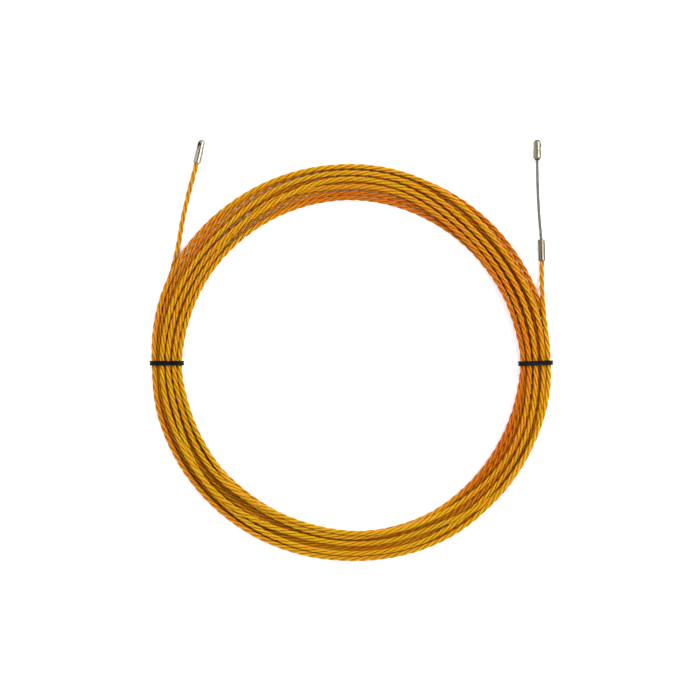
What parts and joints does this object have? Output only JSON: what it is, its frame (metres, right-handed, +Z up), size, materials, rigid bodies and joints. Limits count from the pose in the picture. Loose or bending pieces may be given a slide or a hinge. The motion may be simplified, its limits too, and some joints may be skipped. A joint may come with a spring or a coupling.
{
  "type": "coiled fish tape",
  "caption": "Twisted plastic fish tape tied in a flat ring, with an eye terminal at one end and a sprung steel rope leader with an eyed bullet tip at the other.",
  "frame": {"origin": "centre of the tied ring, on the surface that it lies on", "axes": "+Z up out of the ring's plane; +Y the way both ends of the tape leave the ring; +X towards the end with the steel leader"},
  "size_m": [0.3069, 0.3213, 0.0118],
  "materials": {
    "tape": "glossy, slightly translucent polyester",
    "nickel_plated_brass": "polished nickel plate",
    "steel_rope": "bright drawn wire, lightly oiled",
    "black_nylon": "moulded, semi-gloss"
  },
  "bodies": {
    "tied_tape": {"tape_coil": "tape", "tape_end_left": "tape", "tape_end_right": "tape", "eye_terminal": "nickel_plated_brass", "crimp_sleeve": "nickel_plated_brass", "tie_left": "black_nylon", "tie_right": "black_nylon", "leader_rope_0": "steel_rope"},
    "leader_link_1": {"leader_rope_1": "steel_rope"},
    "leader_link_2": {"leader_rope_2": "steel_rope"},
    "leader_link_3": {"leader_rope_3": "steel_rope"},
    "leader_link_4": {"leader_rope_4": "steel_rope"},
    "leader_link_5": {"leader_rope_5": "steel_rope"},
    "tip": {"leader_rope_6": "steel_rope", "guide_tip": "nickel_plated_brass"}
  },
  "joints": [
    {"name": "leader_bend", "type": "hinge", "parent": "tied_tape", "child": "leader_link_1", "pos_m": [0.14439, 0.09931, 0.00278], "axis": [0, 0, 1], "range_deg": [-20, 20], "stiffness_Nm_per_rad": 0.05},
    {"name": "leader_lift", "type": "hinge", "parent": "leader_link_1", "child": "leader_link_2", "pos_m": [0.14353, 0.10936, 0.00285], "axis": [0.997, 0.0772, 0], "range_deg": [0, 20], "stiffness_Nm_per_rad": 0.05},
    {"name": "leader_bend_2", "type": "hinge", "parent": "leader_link_2", "child": "leader_link_3", "pos_m": [0.14283, 0.11942, 0.00292], "axis": [0, 0, 1], "range_deg": [-20, 20], "stiffness_Nm_per_rad": 0.05},
    {"name": "leader_lift_2", "type": "hinge", "parent": "leader_link_3", "child": "leader_link_4", "pos_m": [0.14232, 0.12949, 0.00298], "axis": [0.9991, 0.0429, 0], "range_deg": [0, 20], "stiffness_Nm_per_rad": 0.05},
    {"name": "leader_bend_3", "type": "hinge", "parent": "leader_link_4", "child": "leader_link_5", "pos_m": [0.14197, 0.13957, 0.00305], "axis": [0, 0, 1], "range_deg": [-20, 20], "stiffness_Nm_per_rad": 0.05},
    {"name": "leader_lift_3", "type": "hinge", "parent": "leader_link_5", "child": "tip", "pos_m": [0.1418, 0.14966, 0.00312], "axis": [1, 0.0086, 0], "range_deg": [0, 20], "stiffness_Nm_per_rad": 0.05}
  ],
  "couplings": [
    {"joint": "leader_bend_2", "follows": "leader_bend", "ratio": 1},
    {"joint": "leader_lift_2", "follows": "leader_lift", "ratio": 1},
    {"joint": "leader_bend_3", "follows": "leader_bend", "ratio": 1},
    {"joint": "leader_lift_3", "follows": "leader_lift", "ratio": 1}
  ]
}
